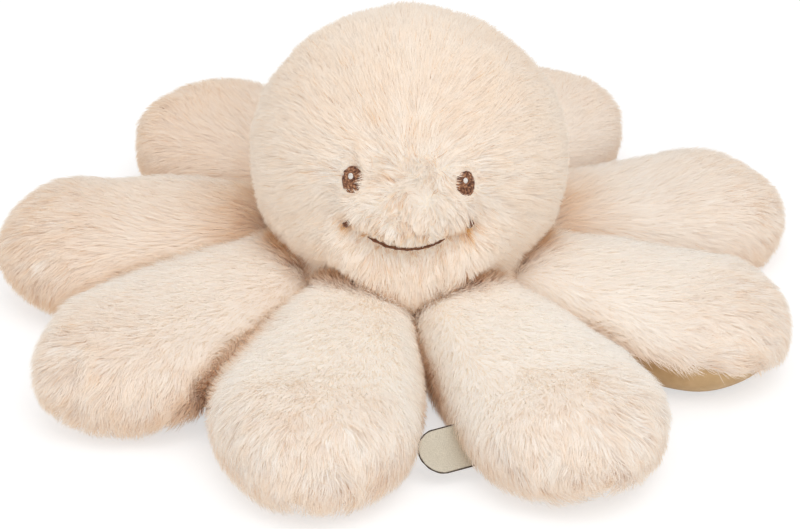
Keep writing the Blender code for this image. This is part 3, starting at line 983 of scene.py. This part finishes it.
def satin_patch(name, half_width, half_height, depth, slant, seed, material):
    """A low dome of side-by-side stitches with a ragged rim and a flat back."""
    turns = circle(96)[None]
    reach = np.concatenate([np.linspace(0, 1, 36), [1.0, 0.0]])[:, None]
    rim = np.stack([np.cos(turns), np.sin(turns), 0 * turns], axis=-1) * 6
    ragged = 1 + 0.05 * noise(rim, 1.0, seed)
    x = half_width * reach * ragged * np.cos(turns)
    y = half_height * reach * ragged * np.sin(turns)
    across = x * math.sin(slant) + y * math.cos(slant)
    ridge = np.abs(np.cos(math.pi * across / STITCH_PITCH)) ** 0.7 * STITCH_HEIGHT
    z = depth * np.sqrt(1 - reach**2 * 0.92) + ridge * (1 - reach**8)
    z[-2:] = 0
    return grid_mesh(name, np.stack([x, y, z], axis=-1), True, material)


def thread_mesh(name, runs, material):
    """Twisted thread: each run is its points and the radius at each."""
    bm = bmesh.new()
    angles = circle(THREAD_SIDES)
    for points, radii in runs:
        along = unit(np.gradient(points, axis=0))
        side = unit(np.cross(along, np.array([0.13, -0.21, 0.97])))
        lift = np.cross(side, along)
        run = np.concatenate([[0], np.cumsum(np.linalg.norm(np.diff(points, axis=0), axis=1))])
        wave = 1 + THREAD_GROOVE * np.cos(THREAD_PLIES * angles[None] - (run / THREAD_TWIST)[:, None])
        reach = (radii[:, None] * wave)[..., None]
        out = side[:, None] * np.cos(angles)[None, :, None] + lift[:, None] * np.sin(angles)[None, :, None]
        verts = [[bm.verts.new(place) for place in row] for row in points[:, None] + reach * out]
        for before, after in zip(verts, verts[1:]):
            for k in range(THREAD_SIDES):
                n = (k + 1) % THREAD_SIDES
                bm.faces.new((before[k], before[n], after[n], after[k]))
        bm.faces.new(verts[0][::-1])
        bm.faces.new(verts[-1])
    bmesh.ops.recalc_face_normals(bm, faces=bm.faces[:])
    return finished(name, bm, material)


def build_face():
    for number, (side, turn, rise) in enumerate(EYES):
        size = 1 - RIGHT_EYE_SMALLER * number
        width, height = EYE_HALF_WIDTH * size, EYE_HALF_HEIGHT * size
        name, seed = "eye_" + side + "_stitching", 500 + number
        eye = satin_patch(name, width, height, EYE_DEPTH, math.radians(24), seed, eye_material)
        eye.transform(head_spot(turn, rise, STITCH_LIFT))
        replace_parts(add(name, eye, "body"), "eye_" + side)

        width, height = GLINT_HALF_WIDTH * size, GLINT_HALF_WIDTH * size * 1.2
        name, seed = "eye_glint_" + side + "_stitching", 520 + number
        glint = satin_patch(name, width, height, GLINT_DEPTH, math.radians(-40), seed, glint_material)
        front = head_spot(turn, rise, STITCH_LIFT + EYE_DEPTH)
        glint.transform(front @ Matrix.Translation((-0.0003, EYE_HALF_HEIGHT * GLINT_UP_SHARE, 0)))
        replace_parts(add(name, glint, "body"), "eye_glint_" + side)

        sign = -1 if side == "left" else 1
        spot = head_spot(sign * CORNER_TURN, -CORNER_DROP, CORNER_LIFT)
        stitches = []
        for start, end in CORNER_STITCHES:
            share = np.linspace(0, 1, 14)[:, None]
            flat = np.array(start) * (1 - share) + np.array(end) * share
            flat = np.concatenate([flat, 0.5 * np.sin(math.pi * share)], axis=1) * CORNER_SIZE
            taper = np.sqrt(np.sin(math.pi * (0.04 + 0.92 * share[:, 0])))
            stitches.append((placed(flat, spot), CORNER_THREAD_RADIUS * taper))
        name = "mouth_corner_" + side + "_stitches"
        corner = thread_mesh(name, stitches, thread_material)
        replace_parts(add(name, corner, "body"), "mouth_corner_" + side)

    line = mouth_line(160, STITCH_LIFT + MOUTH_THREAD_RADIUS)
    share = np.linspace(0, 1, len(line))
    line[:, 2] += noise(line, 0.0040, 530) * 0.00025
    taper = np.minimum(ease(share, -0.01, 0.09), ease(1 - share, -0.01, 0.11))
    radii = MOUTH_THREAD_RADIUS * (0.25 + 0.75 * taper) * (1 + 0.12 * np.sin(share * 90))
    mouth = thread_mesh("mouth_stitches", [(line, radii)], thread_material)
    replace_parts(add("mouth_stitches", mouth, "body"), "mouth_thread")


# Base panel and tag


def build_base():
    """The cloth disc that closes the body between the arms: flat where it rests, puckered at its seam."""
    turns = circle(128)[None]
    under, over = np.linspace(0, 1, 28), np.linspace(1, 0, 10)[1:]
    shares = np.concatenate([under, over])[:, None]
    pucker = np.cos(turns * BASE_PUCKERS + 2 * np.sin(turns * 5)) * ease(shares, 0.72, 1.0)
    radius = BASE_RADIUS * shares * (1 - 0.008 * pucker)
    z = BASE_DEPTH * (0.12 + 0.38 * ease(shares, 0.80, 1.0)) + BASE_PUCKER_RISE * pucker
    z[len(under) :] = BASE_DEPTH * (0.5 + 0.5 * (1 - over[:, None]) ** 0.5) + 0 * turns
    z = np.maximum(z, 0.0001)
    grid = turned(radius, turns, z)
    base = grid_mesh("base_cloth", grid, True, sole_material)
    piece = add("base_cloth", base, "body")
    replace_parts(piece, "base_panel")
    stitches = []
    radius = BASE_RADIUS * BASE_SEAM_SHARE
    arch = np.sin(np.linspace(0, math.pi, 8))
    for step in range(BASE_STITCHES):
        turn = 2 * math.pi * (step + np.linspace(0.12, 0.88, 8)) / BASE_STITCHES
        path = turned(radius, turn, BASE_SEAM_HEIGHT - 0.0003 * arch)
        stitches.append((path, BASE_THREAD_RADIUS * (0.5 + 0.5 * arch)))
    seam = thread_mesh("base_seam_stitches", stitches, seam_material)
    add("base_seam_stitches", seam, "body")


def tag_frame():
    """X out of the arm's side, Y across the ribbon and Z out of its face."""
    length = ARM_LENGTH * ARMS[TAG_ARM][3]
    middle = length * TAG_ALONG_SHARE
    tilt = math.radians(TAG_TILT)
    width = float(swell(middle, ARM_ROOT_RADIUS, ARM_HALF_WIDTH, length * WIDEST_SHARE, length))
    thick = float(swell(middle, ARM_ROOT_RADIUS, ARM_HALF_THICK, length * THICKEST_SHARE, length))
    seat = width * math.sqrt(1 - (TAG_DROP / thick) ** 2)
    out = Vector((0, -1, 0))
    across = Vector((-math.cos(tilt), 0, math.sin(tilt)))
    axes = Matrix((out, across, out.cross(across))).transposed().to_4x4()
    return arm_place(TAG_ARM, TAG_SWAY, 0.0) @ Matrix.Translation((middle, -seat, -TAG_DROP)) @ axes


def build_tag():
    """A folded satin ribbon with a round end, a slight curl and an overlocked edge."""
    place = tag_frame()
    body = "arm_" + ARMS[TAG_ARM][0]
    turns = circle(96)[None]
    rings = 18
    shares = np.concatenate([np.linspace(0, 1, rings), np.linspace(1, 0, rings)[1:]])[:, None]
    half = TAG_WIDTH / 2
    wide, long = np.sin(turns), np.cos(turns)
    x = np.where(long > 0, TAG_LENGTH - half + long * half, long * half * 0.6)
    middle = TAG_LENGTH * 0.42
    x = middle + (x - middle) * shares
    y = wide * half * shares
    curl = 0.0011 * np.sin(x / TAG_LENGTH * 2.4 + 0.4) - 0.0008 * (y / half) ** 2
    curl = curl + 0.0004 * np.sin(y / half * 3)
    front = np.ones_like(shares)
    front[rings:] = -1
    z = curl + front * TAG_DEPTH / 2 * np.sqrt(np.maximum(1 - shares**6, 0))
    grid = np.stack([x, y, z], axis=-1)
    ribbon = grid_mesh("tag_ribbon", placed(grid, place), True, ribbon_material)
    piece = add("tag_ribbon", ribbon, body)
    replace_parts(piece, "tag")
    edge = placed(np.concatenate([grid[rings - 1], grid[rings - 1, :1]]), place)
    binding = thread_mesh("tag_edge", [(edge, np.full(len(edge), TAG_EDGE_RADIUS))], edge_material)
    add("tag_edge", binding, body)


# Arms


def arm_shade(index, matrix, roots, local, paths, tufts, outer, rng):
    """0 for the darkest strands to 1 for the palest. Painted shade darkens the arms at the back, and every
    arm near the head, the back ones most.
    """
    count = len(roots)
    tuft = rng.normal(0, 1, tufts.max() + 1)[tufts] * blend(outer, *ARM_TUFT_SHADE)
    # Darker towards the tip: own tone and painted shade.
    shade = blend(outer, *ARM_SHADE) + ARM_SHADE_WAVE * noise(roots, 0.012, 361) + tuft
    shade = shade + rng.normal(0, ARM_SPECK_SHADE, count)
    # Painted shade on the arms towards the back, more on the left.
    to_back = 0.5 + matrix.translation.y / (2 * ARM_ROOT_CIRCLE)
    shade -= to_back * (BACK_SHADE_LEFT if matrix.translation.x < 0 else BACK_SHADE_RIGHT)
    uneven = blend(noise(roots, 0.006, 371), *ARM_CREASE_SHADE_UNEVEN)
    # Painted shade near the head, deepest on the arms at the back.
    behind = float(ease(matrix.translation.y, -0.030, 0.010))
    near_head_shade = blend(behind, *NEAR_HEAD_SHADE) * (1 - ease(from_head(roots), NEAR_HEAD_SHADE_START, blend(behind, *NEAR_HEAD_SHADE_REACH)))
    # Painted shade on the arm's lower sides.
    side = SIDE_SHADE * ease(-local[:, 2], -0.009, 0.008) * (1 - SIDE_TIP_LESS * outer)
    # Painted shade: the deeper of the crease shade and the shade near the head, and the lower sides' shade.
    shade -= np.maximum(ARM_CREASE_SHADE * painted_crease_shade(roots, paths, index) * uneven, near_head_shade * uneven) + side
    shade -= ARM_FLECK_SHADE * (rng.random(count) < blend(outer, *ARM_FLECK_SHARES))
    # Where the arm is hidden at rest, its painted shade is held light.
    hidden = (1 - ease(local[:, 0], 0.055, 0.080)) * (1 - ease(local[:, 2], 0.000, 0.010))
    return np.clip(np.maximum(shade, HIDDEN_SHADE * hidden), *SHADE_LIMITS)


def build_arm(index, name, sway, roll, length_share, girth_share, extra, bend, slant):
    rng = np.random.default_rng(100 + index)
    matrix = arm_place(index, sway, extra)
    climb = ARM_RISE + math.radians(extra)
    grids = arm_grids(roll, length_share, girth_share, bend, slant)
    upper, sole = (placed(dressed_arm(grid, 200 + 10 * index, climb), matrix) for grid in grids)
    body = "arm_" + name

    skin = grid_mesh(body + "_skin", upper, False, backing_material)
    piece = add(body + "_skin", skin, body)
    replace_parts(piece, body + "_plush_top", body + "_filling")
    under = grid_mesh(body + "_sole", sole, False, sole_material)
    piece = add(body + "_sole", under, body)
    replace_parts(piece, body + "_underside")

    roots, normals = scatter(skin, rng)
    count = len(roots)
    local = placed(roots, matrix.inverted())
    outer = ease(local[:, 0] / (ARM_LENGTH * length_share), 0.50, 1.0)
    pressed = touching(roots, index, *PRESSED)
    length = PILE * blend(rng.random(count), *ARM_LENGTHS)
    length *= blend(ease(local[:, 0], -0.004, 0.012), *ROOT_LENGTHS)
    if roll:
        length *= 1 - ROLLED_SHORTER * ease(-local[:, 2], -0.002, 0.008) * (local[:, 1] < 0)
    swirl = layered(noise_vectors, roots, ARM_SWIRL)
    swirl = swirl + noise_vectors(roots, 0.0045, 381) * blend(outer[:, None], *TIP_SWIRL)
    jitter = rng.normal(0, JITTER, (count, 3)) * blend(outer[:, None], *JITTER_SHARES)
    fall = (-FALL - (0 if roll else TIP_FALL) * outer) * (1 - pressed) + PRESSED_RISE * pressed
    fall = np.stack([0 * outer, 0 * outer, fall], axis=-1)
    ahead = np.array(matrix)[:3, 0] * COMBED_OUT
    flow = flat_to(ahead + fall + swirl * blend(outer[:, None], *SWIRL_SHARES) + jitter, normals)
    lean_root = ARM_LEAN_ROOT + rng.normal(0, LEAN_SPREAD, count) - PRESSED_ROOT_UPRIGHT * pressed
    lean_tip = ARM_LEAN_TIP + blend(outer, *ARM_LEAN_WAVE) * noise(roots, 0.009, 351)
    lean_tip = lean_tip + rng.normal(0, 0.08, count) - PRESSED_TIP_UPRIGHT * pressed
    leans = (lean_root, lean_tip)
    lock, tuft = (ARM_LOCK, blend(outer, *ARM_LOCK_PULL)), (ARM_TUFT, blend(outer, *ARM_TUFT_PULL))
    paths, tufts = grow(roots, normals, flow, length, leans, lock, tuft, rng)
    shade = arm_shade(index, matrix, roots, local, paths, tufts, outer, rng)
    widths = STRAND_WIDTH * blend(rng.random(count), *WIDTH_SPREAD)
    lit = unit(normals + np.array([0, 0, 1.6]) * pressed[:, None])
    halves = (("left", local[:, 1] < 0), ("right", local[:, 1] >= 0))
    add_fur(body, body, halves, (paths, lit, widths, shade), arm_fur_material, rng)


# Studio and camera


def build_studio():
    material = bpy.data.materials.new("floor")
    material.use_nodes = True
    nodes, links = material.node_tree.nodes, material.node_tree.links
    nodes.clear()
    out, both = make_node(nodes, "OutputMaterial"), make_node(nodes, "AddShader")
    path, mix = make_node(nodes, "LightPath"), make_node(nodes, "MixShader")
    lit = make_node(nodes, "BsdfDiffuse", Color=(0.93, 0.93, 0.93, 1))
    seen = make_node(nodes, "BsdfDiffuse", Color=(0.45, 0.45, 0.45, 1))
    glow = make_node(nodes, "Emission", Strength=0.62)
    seen_by = (path, "Is Camera Ray")
    for ray in ("Is Glossy Ray", "Is Transmission Ray"):
        total = make_node(nodes, "Math")
        total.use_clamp = True
        wire(links, (*seen_by, total, 0), (path, ray, total, 1))
        seen_by = (total, 0)
    wire(links, (seen, 0, both, 0), (glow, 0, both, 1))
    wire(links, (*seen_by, mix, 0), (lit, 0, mix, 1), (both, 0, mix, 2), (mix, 0, out, 0))
    floor_mesh = bpy.data.meshes.new("floor")
    bm = bmesh.new()
    bmesh.ops.create_grid(bm, x_segments=1, y_segments=1, size=3.0)
    bm.to_mesh(floor_mesh)
    bm.free()
    floor_mesh.materials.append(material)
    linked("floor", floor_mesh)

    world = bpy.data.worlds.new("studio")
    world.use_nodes = True
    light = world.node_tree.nodes["Background"].inputs
    light["Color"].default_value = (1, 1, 1, 1)
    light["Strength"].default_value = 0.66
    bpy.context.scene.world = world

    for name, place, size, power in LAMPS:
        data = bpy.data.lights.new(name, "AREA")
        data.shape = "SQUARE"
        data.size = size
        data.energy = power
        lamp = linked(name, data)
        lamp.location = place
        lamp.rotation_euler = (Vector((0, 0, 0.04)) - Vector(place)).to_track_quat("-Z", "Y").to_euler()


def build_camera():
    data = bpy.data.cameras.new("camera")
    data.lens = LENS
    data.sensor_width = 36
    camera = linked("camera", data)
    angle = math.radians(VIEW_ELEVATION)
    ahead = Vector((0, math.cos(angle), -math.sin(angle)))
    camera.location = Vector(VIEW_TARGET) - ahead * VIEW_DISTANCE
    camera.rotation_euler = ahead.to_track_quat("-Z", "Y").to_euler()
    bpy.context.scene.camera = camera
    bpy.context.scene.view_settings.view_transform = "Standard"


build_camera()
build_studio()
build_head()
build_face()
build_base()
build_tag()
for index, arm in enumerate(ARMS):
    build_arm(index, *arm)
